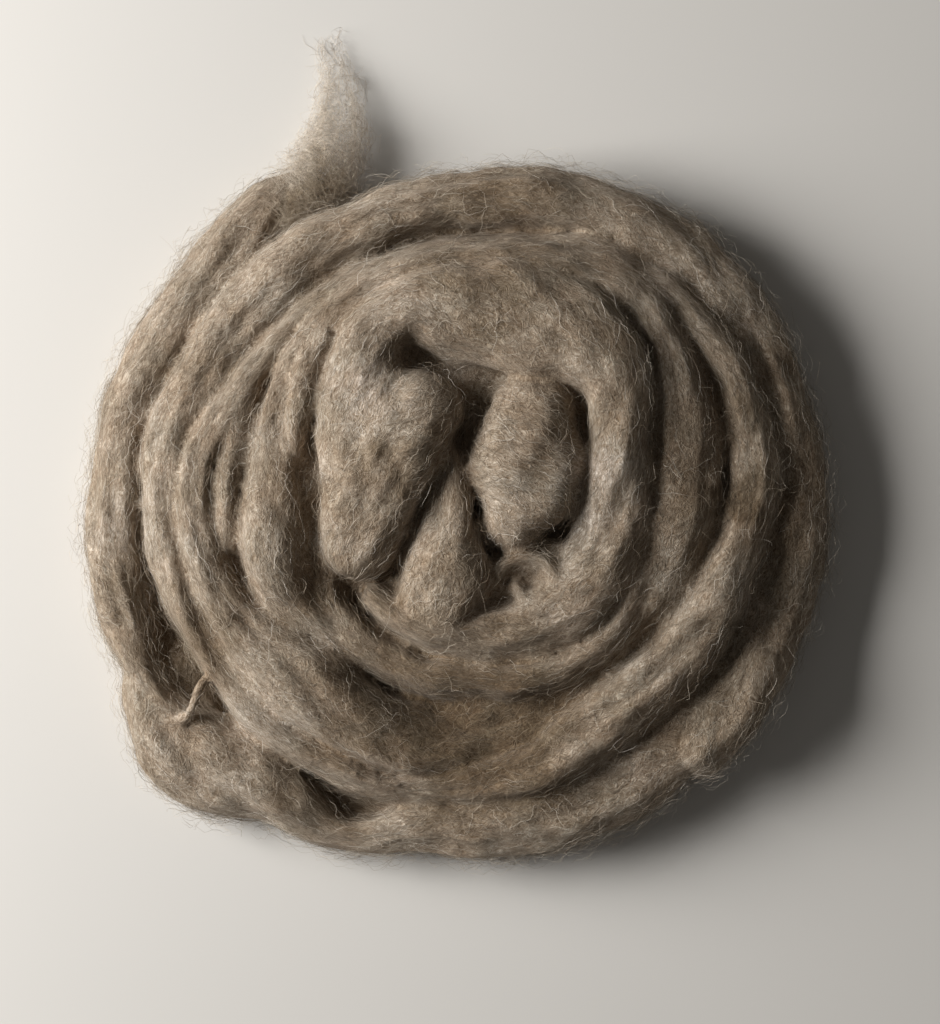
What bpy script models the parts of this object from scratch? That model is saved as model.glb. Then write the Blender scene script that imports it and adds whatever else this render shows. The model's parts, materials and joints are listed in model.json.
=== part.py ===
"""Wool roving: one thick strand wound flat into a round nest, with one loose wispy end."""

import math

import bmesh
import bpy
import numpy as np
from mathutils import Vector

MM = 0.001

# Driving sizes of the nest, in millimetres.
STRAND_SPREAD = 1.05      # each turn's real width over the width left showing between its neighbours
STRAND_DEPTH = 32.0       # height of a turn's section, from its crown down to where it is buried
BURIED = 3.0              # how far the outer turn's section runs below the resting plane
FIRST_ANGLE = 139.0       # where the loose end leaves the outer turn, in degrees from +X
LAST_ANGLE = 1436.0       # where the innermost turn dives under the ring
STATION_STEP = 30.0       # degrees between the rows of TURNS
SECTION_STEP = 5.0        # degrees between the sections of the winding
SECTION_SIDES = 16
END_ROUNDING = 5          # sections in each rounded end
CLEARANCE = 0.35          # between the winding and the loose end
VOXEL = 2.0
FACE_BUDGET = 8200

# The turns, a row for each station round the nest from where the loose end leaves it.
# Each turn has its radius to the middle of its crown, the width that shows, and its crown's height.
#         turn 0              turn 1              turn 2              turn 3
TURNS = (
    ((134.0, 24.0, 30.0), (115.0, 23.0, 40.0), (97.0, 14.0, 43.0), (90.0, 14.0, 47.0)),    # 120
    ((134.0, 21.0, 29.0), (113.5, 20.0, 39.0), (98.0, 14.0, 43.0), (80.0, 16.0, 47.0)),    # 150
    ((136.5, 16.0, 28.0), (117.0, 16.0, 38.0), (102.0, 17.0, 43.0), (73.0, 20.0, 48.0)),   # 180
    ((137.0, 17.0, 26.0), (112.5, 15.0, 37.0), (96.0, 18.0, 43.0), (74.0, 18.0, 47.0)),    # 210
    ((132.0, 13.0, 24.0), (109.0, 14.0, 35.0), (92.0, 27.0, 43.0), (69.5, 14.0, 42.0)),    # 240
    ((122.5, 22.0, 28.0), (107.0, 14.0, 34.0), (93.0, 25.0, 38.0), (65.5, 13.0, 42.0)),    # 270
    ((126.0, 24.0, 32.0), (97.5, 18.0, 42.0), (83.0, 17.0, 38.0), (72.0, 12.0, 41.0)),     # 300
    ((131.0, 24.0, 33.0), (100.0, 19.0, 44.0), (81.0, 17.0, 41.0), (78.0, 10.0, 40.0)),    # 330
    ((136.5, 17.0, 31.0), (114.0, 17.0, 42.0), (90.0, 19.0, 44.0), (82.0, 8.0, 36.0)),     # 0
    ((137.5, 16.0, 32.0), (121.0, 15.0, 40.0), (101.5, 19.0, 45.0), (84.0, 8.0, 34.0)),    # 30
    ((133.0, 19.0, 34.0), (115.5, 15.0, 41.0), (108.5, 13.0, 46.0), (84.0, 8.0, 34.0)),    # 60
    ((119.5, 20.0, 37.0), (102.5, 14.0, 43.0), (97.5, 12.0, 47.0), (84.0, 8.0, 34.0)),     # 90
)

# The fat inner ring, from under the centre round the right side and the top into the left fold.
#    x, y, width, crown height
RING = (
    (-30.0, -38.0, 18.0, 42.0),
    (-2.0, -49.0, 22.0, 46.0),
    (24.0, -47.0, 24.0, 47.0),
    (44.0, -37.0, 24.0, 48.0),
    (55.0, -15.0, 24.0, 50.0),
    (61.0, 10.0, 25.0, 52.0),
    (63.0, 33.0, 24.0, 53.0),
    (60.0, 55.0, 25.0, 54.0),
    (47.0, 71.0, 30.0, 55.0),
    (25.0, 78.0, 38.0, 55.0),
    (0.0, 78.0, 38.0, 54.0),
    (-19.0, 78.0, 30.0, 53.0),
    (-33.0, 69.0, 27.0, 53.0),
    (-38.0, 50.0, 29.0, 55.0),
    (-33.0, 30.0, 41.0, 58.0),
    (-30.0, 14.0, 44.0, 58.0),
    (-33.0, -2.0, 37.0, 56.0),
    (-37.0, -14.0, 26.0, 52.0),
)

# The folds, each a short fat run of the strand: three in the middle and two on the outer turn.
#    x, y, width, crown height
FOLDS = {
    "left_knuckle": ((-24.0, 40.0, 31.0, 57.0), (-11.0, 40.5, 30.0, 57.0)),
    "right": ((29.0, 42.0, 37.0, 55.0), (28.0, 20.0, 43.0, 58.0), (27.0, 1.0, 35.0, 55.0)),
    "middle": ((-3.0, 14.0, 12.0, 44.0), (-3.5, -4.0, 21.0, 52.0), (-4.5, -20.0, 31.0, 54.0),
               (-9.0, -33.0, 26.0, 49.0)),
    "outer_left": ((-121.0, -64.0, 16.0, 25.0), (-113.0, -80.0, 25.0, 28.0), (-102.0, -93.0, 24.0, 28.0),
                   (-89.0, -104.0, 15.0, 25.0)),
    "outer_right": ((93.0, -91.0, 26.0, 35.0), (106.0, -76.0, 28.0, 36.0), (117.0, -57.0, 22.0, 34.0)),
}

# The small curl beside the middle fold: its centre, radius, thickness and crown height.
CURL_CENTRE = (27.0, -21.0)
CURL_RADIUS = 8.0
CURL_WIDTH = 9.0
CURL_TOP = 47.0

# The turns that lie hidden below, as a low mound: radius and height.
MOUND = ((0.0, 26.0), (45.0, 26.0), (75.0, 24.0), (100.0, 20.0), (118.0, 14.0), (128.0, 7.0))
MOUND_SEGMENTS = 64

# The loose end, from where it leaves the outer turn to its tip: x, y and thickness.
LOOSE_END = (
    (-100.0, 88.0, 24.0),
    (-90.0, 98.5, 24.0),
    (-79.0, 108.5, 24.0),
    (-68.0, 117.5, 24.0),
    (-58.0, 126.5, 23.0),
    (-51.0, 137.5, 21.0),
    (-47.0, 150.0, 18.0),
    (-45.5, 163.0, 14.0),
    (-45.5, 175.0, 10.0),
    (-47.0, 185.0, 6.5),
)
LOOSE_LIFT = 0.4          # how far the loose end stays above the resting plane

WOOL_COLOUR = (0.235, 0.195, 0.150, 1.0)


def clear_scene():
    for item in list(bpy.data.objects):
        bpy.data.objects.remove(item, do_unlink=True)


def make_material(name):
    material = bpy.data.materials.new(name)
    material.use_nodes = True
    shader = material.node_tree.nodes["Principled BSDF"]
    shader.inputs["Base Color"].default_value = WOOL_COLOUR
    shader.inputs["Roughness"].default_value = 0.95
    shader.inputs["Metallic"].default_value = 0.0
    material.diffuse_color = WOOL_COLOUR
    return material


def smooth_rows(rows, steps):
    """Rows read along a smooth curve through them, with a number of steps between each two."""
    table = np.array(rows, dtype=float)
    padded = np.vstack((2 * table[0] - table[1], table, 2 * table[-1] - table[-2]))
    result = []
    for index in range(1, len(padded) - 2):
        before, start, end, after = padded[index - 1:index + 3]
        for step in range(steps):
            t = step / steps
            result.append(0.5 * (2 * start + (end - before) * t
                                 + (2 * before - 5 * start + 4 * end - after) * t ** 2
                                 + (3 * start - before - 3 * end + after) * t ** 3))
    result.append(table[-1])
    return np.array(result)


def winding_rows():
    """The whole winding as rows of x, y, width and crown height, read from the stations.

    Each turn's outer edge is where it shows; the rest of its width runs inwards, below the next turn.
    """
    stations = [TURNS[place][turn] for turn in range(4) for place in range(len(TURNS))]
    steps = int(STATION_STEP / SECTION_STEP)
    fine = smooth_rows(stations, steps)
    angles = 120.0 + SECTION_STEP * np.arange(len(fine))
    kept = (angles >= FIRST_ANGLE) & (angles <= LAST_ANGLE)
    turn = np.radians(angles[kept])
    radius, width, top = fine[kept].T
    radius = radius - (STRAND_SPREAD - 1) * width / 2
    return np.column_stack((radius * np.cos(turn), radius * np.sin(turn), width, top))


def sweep_strand(mesh, rows, spread, round_start=True):
    """A closed oval tube along rows of x, y, width and crown height, with rounded ends."""
    path = rows[:, :2]
    along = np.gradient(path, axis=0)
    along /= np.linalg.norm(along, axis=1)[:, None]
    sections = []
    for place, heading, (width, top) in zip(path, along, rows[:, 2:]):
        sections.append((place, heading, width * spread / 2, top, 1.0))
    for at_end in (False, True) if round_start else (True,):
        place, heading, half, top, _ = sections[-1] if at_end else sections[0]
        outward = heading if at_end else -heading
        caps = []
        for step in range(1, END_ROUNDING + 1):
            turn = math.pi / 2 * step / (END_ROUNDING + 0.4)
            caps.append((place + outward * half * 0.9 * math.sin(turn), heading, half, top, math.cos(turn)))
        sections = sections + caps if at_end else caps[::-1] + sections
    rings = []
    for place, heading, half, top, scale in sections:
        depth = max(min(STRAND_DEPTH, top + BURIED), 2 * half)
        middle = top - depth / 2
        side = Vector((-heading[1], heading[0], 0.0))
        centre = Vector((place[0], place[1], middle))
        ring = []
        for corner in range(SECTION_SIDES):
            turn = 2 * math.pi * corner / SECTION_SIDES
            offset = side * half * math.cos(turn) + Vector((0, 0, 1)) * depth / 2 * math.sin(turn)
            ring.append(mesh.verts.new((centre + offset * scale) * MM))
        rings.append(ring)
    for lower, upper in zip(rings, rings[1:]):
        for corner in range(SECTION_SIDES):
            following = (corner + 1) % SECTION_SIDES
            mesh.faces.new((lower[corner], lower[following], upper[following], upper[corner]))
    mesh.faces.new(rings[0][::-1])
    mesh.faces.new(rings[-1])


def curl_rows():
    turn = np.radians(np.arange(30.0, 331.0, 20.0))
    x = CURL_CENTRE[0] + CURL_RADIUS * np.cos(turn)
    y = CURL_CENTRE[1] + CURL_RADIUS * np.sin(turn)
    return np.column_stack((x, y, np.full_like(x, CURL_WIDTH), np.full_like(x, CURL_TOP)))


def add_mound(mesh):
    """The hidden lower turns, a low round mound that also closes the nest's underside."""
    outline = [(MOUND[-1][0], -BURIED)] + [row for row in MOUND[::-1]]
    rings = []
    for radius, height in outline[:-1]:
        ring = []
        for corner in range(MOUND_SEGMENTS):
            turn = 2 * math.pi * corner / MOUND_SEGMENTS
            place = Vector((radius * math.cos(turn), radius * math.sin(turn), height))
            ring.append(mesh.verts.new(place * MM))
        rings.append(ring)
    for lower, upper in zip(rings, rings[1:]):
        for corner in range(MOUND_SEGMENTS):
            following = (corner + 1) % MOUND_SEGMENTS
            mesh.faces.new((lower[corner], lower[following], upper[following], upper[corner]))
    mesh.faces.new(rings[0][::-1])
    mesh.faces.new(rings[-1])


def apply_modifiers(item):
    """The mesh of an object with its modifiers worked in."""
    graph = bpy.context.evaluated_depsgraph_get()
    result = bpy.data.meshes.new_from_object(item.evaluated_get(graph))
    item.modifiers.clear()
    item.data = result


def make_winding(material):
    mesh = bmesh.new()
    add_mound(mesh)
    sweep_strand(mesh, winding_rows(), STRAND_SPREAD, round_start=False)
    sweep_strand(mesh, smooth_rows(RING, 5), 1.05)
    for rows in FOLDS.values():
        sweep_strand(mesh, smooth_rows(rows, 5), 1.0)
    sweep_strand(mesh, curl_rows(), 1.0)
    bmesh.ops.recalc_face_normals(mesh, faces=mesh.faces)
    data = bpy.data.meshes.new("wound_roving")
    mesh.to_mesh(data)
    mesh.free()
    winding = bpy.data.objects.new("wound_roving", data)
    bpy.context.scene.collection.objects.link(winding)
    merge = winding.modifiers.new("merge", "REMESH")
    merge.mode = "VOXEL"
    merge.voxel_size = VOXEL * MM
    soften = winding.modifiers.new("soften", "SMOOTH")
    soften.factor = 0.5
    soften.iterations = 5
    apply_modifiers(winding)
    keep_outer_skin(winding)
    thin = winding.modifiers.new("thin", "DECIMATE")
    thin.ratio = FACE_BUDGET / sum(len(face.vertices) - 2 for face in winding.data.polygons)
    apply_modifiers(winding)
    cut_away(winding, loose_end_space())
    cut_away(winding, block_below())
    winding.data.materials.clear()
    winding.data.materials.append(material)
    return winding


def keep_outer_skin(winding):
    """Drops the small skins of any closed pockets between the turns."""
    mesh = bmesh.new()
    mesh.from_mesh(winding.data)
    mesh.faces.ensure_lookup_table()
    skins = []
    waiting = set(mesh.faces)
    while waiting:
        skin = [waiting.pop()]
        for face in skin:
            for edge in face.edges:
                for other in edge.link_faces:
                    if other in waiting:
                        waiting.remove(other)
                        skin.append(other)
        skins.append(skin)
    outer = max(skins, key=len)
    inner = [face for skin in skins if skin is not outer for face in skin]
    bmesh.ops.delete(mesh, geom=inner, context="FACES")
    mesh.to_mesh(winding.data)
    mesh.free()


def cut_away(winding, data):
    """Takes the space of a closed mesh out of the winding."""
    tool = bpy.data.objects.new("tool", data)
    bpy.context.scene.collection.objects.link(tool)
    cut = winding.modifiers.new("cut", "BOOLEAN")
    cut.operation = "DIFFERENCE"
    cut.solver = "EXACT"
    cut.object = tool
    apply_modifiers(winding)
    bpy.data.objects.remove(tool, do_unlink=True)


def block_below():
    """A wide block whose top is the resting plane."""
    mesh = bmesh.new()
    bmesh.ops.create_cube(mesh, size=1.0)
    bmesh.ops.scale(mesh, vec=(0.4, 0.4, 0.05), verts=mesh.verts)
    bmesh.ops.translate(mesh, vec=(0.0, 0.0, -0.025), verts=mesh.verts)
    data = bpy.data.meshes.new("block_below")
    mesh.to_mesh(data)
    mesh.free()
    return data


def loose_end_curve(name, clearance):
    """The loose end as a tapered tube, made larger all round by a clearance."""
    curve = bpy.data.curves.new(name, "CURVE")
    curve.dimensions = "3D"
    curve.bevel_depth = MM
    curve.bevel_resolution = 3
    curve.use_fill_caps = True
    rows = smooth_rows(LOOSE_END, 2)
    places = rows[:, :2].copy()
    places[0] -= clearance * (rows[1, :2] - rows[0, :2]) / np.linalg.norm(rows[1, :2] - rows[0, :2])
    spline = curve.splines.new("POLY")
    spline.points.add(len(rows) - 1)
    for point, (x, y), thickness in zip(spline.points, places, rows[:, 2]):
        point.co = (x * MM, y * MM, (thickness / 2 + LOOSE_LIFT) * MM, 1.0)
        point.radius = thickness / 2 + clearance
    loose = bpy.data.objects.new(name, curve)
    bpy.context.scene.collection.objects.link(loose)
    return loose


def loose_end_space():
    """The room that the loose end takes up, with its clearance."""
    loose = loose_end_curve("space", CLEARANCE)
    graph = bpy.context.evaluated_depsgraph_get()
    data = bpy.data.meshes.new_from_object(loose.evaluated_get(graph))
    bpy.data.objects.remove(loose, do_unlink=True)
    return data


def make_loose_end(material):
    loose = loose_end_curve("loose_end", 0.0)
    loose.data.materials.append(material)


def main():
    clear_scene()
    make_winding(make_material("wool_winding"))
    make_loose_end(make_material("wool_end"))


main()
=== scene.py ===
import json
import math
from functools import cache, partialmethod

import bmesh
import bpy
import numpy as np
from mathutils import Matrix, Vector, interpolate, noise
from mathutils.bvhtree import BVHTree

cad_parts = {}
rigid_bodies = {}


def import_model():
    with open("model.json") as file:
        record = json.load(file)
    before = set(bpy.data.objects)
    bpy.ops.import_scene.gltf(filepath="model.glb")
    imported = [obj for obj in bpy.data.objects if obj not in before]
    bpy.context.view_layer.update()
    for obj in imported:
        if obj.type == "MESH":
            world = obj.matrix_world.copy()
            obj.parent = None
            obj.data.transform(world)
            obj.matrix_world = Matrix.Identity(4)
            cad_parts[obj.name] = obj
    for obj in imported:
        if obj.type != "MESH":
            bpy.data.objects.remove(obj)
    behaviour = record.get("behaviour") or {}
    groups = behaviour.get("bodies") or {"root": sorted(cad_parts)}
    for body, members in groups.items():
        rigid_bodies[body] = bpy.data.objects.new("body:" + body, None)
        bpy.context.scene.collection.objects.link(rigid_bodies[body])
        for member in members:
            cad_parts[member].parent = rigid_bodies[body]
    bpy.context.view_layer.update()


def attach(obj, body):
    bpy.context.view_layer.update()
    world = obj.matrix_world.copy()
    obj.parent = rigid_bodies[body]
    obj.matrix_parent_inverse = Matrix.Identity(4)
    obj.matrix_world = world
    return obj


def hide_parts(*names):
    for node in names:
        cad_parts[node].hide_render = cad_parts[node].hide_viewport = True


print("roving: clearing the file and loading the frame")
for thing in list(bpy.data.objects):
    bpy.data.objects.remove(thing, do_unlink=True)
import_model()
mm = 0.001

view = {
    "height": 1.15,          # camera above the table, in metres
    "centre": (5.4, 0.0),    # middle of the picture, in millimetres
    "across": 394.2,         # long side of the picture where the wool is, in millimetres
    "woolLevel": 38.0,       # height that the picture's width is measured at
    "lightFrom": (-1.18, 0.2, 0.67),
    "lightSize": 0.8,
    "lightPower": 36.3,
    "lightColour": (1.0, 0.985, 0.96),
    "roomLight": 0.08,
    "roomColour": (1.0, 0.965, 0.91, 1.0),
    "tableSize": 1.6,        # half of its side, in metres
    "tableColour": (0.66, 0.64, 0.61, 1.0),
    "tableRoughness": 0.8,
}


def addObject(name, data):
    thing = bpy.data.objects.new(name, data)
    bpy.context.scene.collection.objects.link(thing)
    return thing


def makeView():
    cam = bpy.data.cameras.new("camera")
    cam.sensor_fit = "VERTICAL"
    reach = view["height"] - view["woolLevel"] * mm
    cam.angle_y = 2 * math.atan(view["across"] * mm / 2 / reach)
    camera = addObject("camera", cam)
    camera.location = (view["centre"][0] * mm, view["centre"][1] * mm, view["height"])
    bpy.context.scene.camera = camera

    lamp = bpy.data.lights.new("window", "AREA")
    lamp.size = view["lightSize"]
    lamp.energy = view["lightPower"]
    lamp.color = view["lightColour"]
    window = addObject("window", lamp)
    window.location = view["lightFrom"]
    window.rotation_euler = (-Vector(view["lightFrom"])).to_track_quat("-Z", "Y").to_euler()

    room = bpy.data.worlds.new("room")
    room.use_nodes = True
    glow = room.node_tree.nodes["Background"].inputs
    glow["Color"].default_value = view["roomColour"]
    glow["Strength"].default_value = view["roomLight"]
    bpy.context.scene.world = room
    bpy.context.scene.view_settings.view_transform = "Standard"

    half = view["tableSize"]
    mesh = bpy.data.meshes.new("table")
    corners = ((-half, -half, 0.0), (half, -half, 0.0), (half, half, 0.0), (-half, half, 0.0))
    mesh.from_pydata(corners, (), ((0, 1, 2, 3),))
    table = addObject("table", mesh)
    paint = bpy.data.materials.new("tablePaint")
    paint.use_nodes = True
    shader = paint.node_tree.nodes["Principled BSDF"]
    shader.inputs["Base Color"].default_value = view["tableColour"]
    shader.inputs["Roughness"].default_value = view["tableRoughness"]
    mesh.materials.append(paint)


print("roving: camera, window light and table")
makeView()

# The strand's course, in millimetres, as in the CAD part but traced more finely.
winding = {
    "showing": 1.2,         # a turn's real width over the width that shows
    "depth": 32.0,          # height of a turn's section
    "lean": 3.0,            # of its fibres from the way it runs, in degrees
    # angle in degrees, radius, width and crown height, from the loose end inwards
    "course": (
        (116.5, 146, 7, 16), (121, 143, 18, 22), (127, 138.5, 23, 26), (134, 135, 23, 29),
        (142, 133.5, 21, 30), (152, 133.5, 20, 29.5), (165, 134.5, 19, 29), (180, 135.5, 17, 28.5),
        (190, 136, 17, 28), (198, 137, 18, 28), (207, 138, 13, 27), (215, 137.5, 16, 27),
        (225, 135.5, 24, 29), (237, 132.5, 23, 29), (250.5, 134.5, 11, 22), (263, 126, 17, 28),
        (275, 123.5, 24, 31), (292, 126, 25, 32), (308, 125.5, 28, 32), (318, 127, 29, 33),
        (330, 129, 29, 31), (345, 130, 28, 29), (360, 133, 24, 28), (378, 134.5, 22, 29),
        (395, 135, 21, 31), (415, 134, 21, 34), (430, 130, 20, 37), (450, 123, 19, 39),
        (465, 119, 20, 39), (480, 115.5, 22, 40), (495, 113, 22, 40), (510, 113.5, 20, 39),
        (525, 115.5, 18, 38), (540, 114, 16, 37), (560, 111.5, 15, 36), (585, 110, 13, 35),
        (610, 111, 12, 34), (628, 109, 13, 33), (645, 106, 21, 38), (662, 101.5, 24, 42),
        (680, 102.5, 24, 44), (697, 106, 22, 43), (715, 113, 19, 41), (735, 119, 17, 39),
        (755, 121, 16, 39), (775, 117, 16, 38), (795, 106.5, 12, 37), (812, 101, 12, 38.5),
        (840, 96.5, 13, 42), (862, 96, 13, 42), (885, 101.5, 16, 43), (905, 102, 17, 43),
        (925, 97, 17, 43), (945, 91, 26, 45), (960, 91, 25, 42), (985, 94, 27, 34), (1005, 89, 26, 32),
        (1025, 81, 20, 35), (1045, 80, 19, 39), (1065, 84, 25, 43), (1080, 88, 27, 44.5),
        (1100, 94.5, 25, 45), (1115, 103, 17, 45), (1130, 109, 14, 45), (1145, 107, 13, 45),
        (1160, 101, 12, 45), (1180, 95, 13, 46), (1200, 90, 14, 46), (1225, 82, 16, 46),
        (1250, 74, 18, 46), (1266, 75, 23, 48.5), (1279, 75, 21, 47), (1291, 71, 15, 42),
        (1305, 66, 13, 39), (1320, 65, 13, 38), (1337, 66, 13, 39), (1353, 66, 14, 41),
        (1380, 73, 14, 44), (1405, 78, 15, 43), (1430, 79, 15, 42), (1455, 77, 12, 42), (1475, 74, 8, 40),
    ),
}

# Each shorter run: its section's height, how far its fibres lean from the way it runs, in degrees,
# how deep the creases between its locks are, and points of x, y, width and crown height.
runs = {
    "ring": {"depth": 34, "lean": 16, "crease": 0.6, "points": (
        (-31.5, -33, 12, 41), (-17.5, -42.5, 17, 45), (-2, -46.5, 19, 46), (24, -46, 26, 47),
        (44, -34, 30, 49), (57, -14, 30, 51), (61, 10, 29.5, 53), (62.5, 33, 26.5, 54), (60, 53, 28, 54),
        (46, 68, 37, 55), (25, 74.5, 45, 55.5), (1, 77.5, 40, 54), (-19, 78, 30, 53), (-32, 69, 29, 53),
        (-36, 50, 32, 54.5), (-34, 30, 39, 56.5), (-32, 14, 40, 57.5), (-35, -2, 34, 56.5),
        (-37.5, -13, 29, 54))},
    "innerLap": {"depth": 26, "lean": 14, "points": (
        (-57, 26, 10, 36), (-57, 8, 17, 38), (-55, -14, 20, 37), (-48.5, -37, 16, 36.5),
        (-30, -55, 14, 38), (-6, -65, 13, 39), (18, -67.5, 8, 38))},
    "leftShoulder": {"depth": 36, "lean": 35, "crease": 0.25, "points": (
        (-14, 40, 33, 57), (-17, 30, 32, 60), (-21.5, 18, 28, 59), (-27.5, 4, 23, 56))},
    "leftFill": {"depth": 36, "lean": 25, "crease": 0.25, "points": (
        (-27, 49, 20, 54), (-27.5, 40, 24, 57), (-28.5, 27, 26, 58.5), (-30, 13, 24, 58.5),
        (-33, 0, 20, 56.5))},
    "rightFold": {"depth": 38, "lean": -76, "crease": 0.25, "points": (
        (30, 39, 33, 54), (27.5, 27, 39, 57.5), (26, 14, 40.5, 58), (24.5, 4, 36, 56.5),
        (21.5, -4, 25, 53.5))},
    "middleFold": {"depth": 32, "lean": 10, "crease": 0.25, "points": (
        (-1.5, 21, 9, 45), (-1.5, 9, 13.5, 49), (-2.5, -3, 21, 52), (-4, -14, 31, 54), (-5, -24, 36, 54),
        (-8, -36, 31, 49))},
    "outerLeftFold": {"depth": 26, "lean": 12, "points": (
        (-123, -60, 15, 25), (-119, -76, 25, 28), (-109, -93, 29, 29), (-94, -106, 26, 27),
        (-78, -114, 17, 24))},
    "leftFold": {"depth": 18, "lean": -12, "points": (
        (-135, -10, 8, 27), (-134.5, -22, 16, 31), (-131, -36, 18, 31), (-125, -50, 11, 28))},
    "pocketBed": {"depth": 14, "lean": 10, "points": (
        (-118, -28, 8, 14), (-114, -46, 13, 16), (-106, -62, 13, 17), (-97, -76, 8, 17))},
    "outerRightFold": {"depth": 28, "lean": -14, "points": (
        (93, -91, 26, 35), (106, -76, 28, 36), (117, -57, 22, 34))},
    "leftThin": {"depth": 14, "points": (
        (-78, 48, 5, 39), (-85, 30, 9, 42), (-88, 8, 10, 42.5), (-88, -14, 5, 39))},
    "lock": {"depth": 5, "points": (
        (-96, -63, 2.5, 33), (-99.5, -68, 4, 34.5), (-101.5, -74, 4, 33), (-105, -80, 4, 30.5),
        (-110, -82.5, 2.5, 28.5))},
    "topLeftThin": {"depth": 16, "points": (
        (-44, 82, 6, 46), (-54, 64, 12, 49), (-60, 44, 12, 49), (-62, 22, 6, 45))},
    "curlBed": {"depth": 22, "points": (
        (6, -32, 20, 39), (16, -28, 24, 40), (28, -25, 27, 41), (41, -21, 22, 41))},
    "curl": {"depth": 10, "points": (
        (7, -32, 6, 40.5), (12.5, -26.5, 7, 44.5), (19, -20.5, 7, 46.5), (27, -18, 7, 47.5),
        (34.5, -20.5, 7, 48), (37, -27, 6.5, 47.5), (32.5, -32.5, 6.5, 46.5), (26, -32.5, 6, 45.5),
        (23, -28.5, 5, 45))},
}

# The hidden lower turns, a low mound: radius, height, and how much lower it is at the dip.
mound = {
    "rows": ((0, 29, 0), (38, 30, 0), (55, 33, 10), (78, 35, 15), (95, 28, 3), (107, 20, 0), (117, 11, 0),
             (127, 6, 0), (132, 3, 0), (131, 0.3, 0), (90, 0.3, 0), (0, 0.3, 0)),
    "segments": 120,
    "pole": 0.2,             # smallest radius, at the closed middle
    "dipAt": 240.0,          # degrees
    "dipSpread": 32.0,
    "lump": 3.0,             # height and size of its unevenness
    "lumpSize": 14.0,
    "lean": 90.0,
    "flowLength": 150.0,
}

# The loose end, from the outer turn to its tip: x, y and the thickness of the CAD tube, whose tip
# bends a little less.
looseEnd = {
    "points": ((-100, 88, 24), (-90, 98.5, 24), (-79, 108.5, 24), (-68, 117.5, 24), (-58, 126.5, 23),
               (-51, 137.5, 21), (-47, 150, 18), (-46.5, 163, 14), (-48, 175, 10), (-51.5, 186.5, 6.5)),
    "slim": (0.80, 0.80, 0.80, 0.78, 0.80, 0.83, 0.80, 0.68, 0.56, 0.66),   # core over CAD thickness
    "thinFrom": 3,           # point from which it thins out to wisps
    "depth": 60.0,           # more than its thickness, so that its section stays round
    "lift": 0.4,
    "rough": 0.5,            # unevenness over the other strands'
    "cap": 0.25,             # a flatter end than the other strands'
    "diameter": 0.018,
}

surface = {
    "step": 3.0,             # along a strand, millimetres
    "sideLength": 2.4,       # around it
    "fewestSides": 12,
    "flatness": 0.75,        # 1 for an oval section, less for one that is flatter on top
    "broadFrom": 11.0,       # half width from which a strand is as flat as that
    "buried": 3.0,           # how far a low strand's section goes below the table before it is cut flat
    "capRings": 6,           # rings that round off each end of a strand
    "capSpan": 6.3,          # a little more than the rings, so that the last one stays open
    # unevenness, broad and small: height, how often it changes round the strand, length along it, place
    "lumps": ((2.6, 0.8, 34.0, 3.0), (1.9, 1.9, 13.0, 9.0)),
    "evenBelow": 8.0,        # half width below which a strand is smoother
    "crease": 2.6,           # depth of the long creases between locks
    "creaseWidth": 0.2,      # in radians round the section
    "creasesAt": (2.2, 3.1, 4.05),
    "creaseWander": 0.5,     # in radians, over about creaseSwing along the strand
    "creaseSwing": 55.0,
    "creaseLength": 45.0,    # over which a crease comes and goes
    "creaseShare": 0.2,      # more for creases in more of the strand
    "creaseOnset": 1.8,      # more for creases that start more suddenly
    "floor": 0.3,            # the wool presses flat where it lies
    "voxel": 1.6,
    "softening": 5,
    "hiddenKept": 0.12,      # share of the faces kept where nothing shows
    "shownMargin": 2,        # rings of faces kept round those that show
    "bandGap": 0.3,          # metres between the strands' places in the flow map
    "bandStart": 2.0,
    "stretchRows": 8,        # rows of a strand's faces that are searched together
    "flowTear": 0.008,       # a face that spreads wider in the flow map lies across a seam
    # relief of the fine locks, put on last: length, width, place in the pattern and share
    "locks": ((26.0, 3.4, 1.5, 1.0), (9.0, 5.0, 7.5, 0.7)),
    "lockHeight": 0.55,
    "locksAbove": 1.5,       # height that they start at
}

# How a corner's share of open sky is measured, with rays straight up and round the horizon.
openSky = {
    "lifts": (0.35, 1.0),    # how steeply the two rounds of rays rise
    "around": 5,
    "start": 0.0006,         # metres off the skin
    "reach": 0.06,
}


def smoothRows(rows, steps):
    # a smooth course through the rows, in so many steps from each to the next
    table = np.array(rows, dtype=float)
    padded = np.vstack((2 * table[0] - table[1], table, 2 * table[-1] - table[-2]))
    result = []
    for index in range(1, len(padded) - 2):
        before, start, end, after = padded[index - 1:index + 3]
        for step in range(steps):
            t = step / steps
            result.append(0.5 * (2 * start + (end - before) * t
                                 + (2 * before - 5 * start + 4 * end - after) * t ** 2
                                 + (3 * start - before - 3 * end + after) * t ** 3))
    result.append(table[-1])
    return np.array(result)


def evenRows(rows, step):
    # the same course with its sections a fixed distance apart
    gaps = np.linalg.norm(np.diff(rows[:, :2], axis=0), axis=1)
    along = np.concatenate(([0.0], np.cumsum(gaps)))
    places = np.linspace(0.0, along[-1], max(4, int(round(along[-1] / step)) + 1))
    return np.column_stack([np.interp(places, along, column) for column in rows.T]), places


def windingRows():
    angle, radius, width, top = smoothRows(winding["course"], steps=8).T
    turn = np.radians(angle)
    radius = radius - (winding["showing"] - 1) * width / 2
    return np.column_stack((radius * np.cos(turn), radius * np.sin(turn), width * winding["showing"], top))


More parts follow.
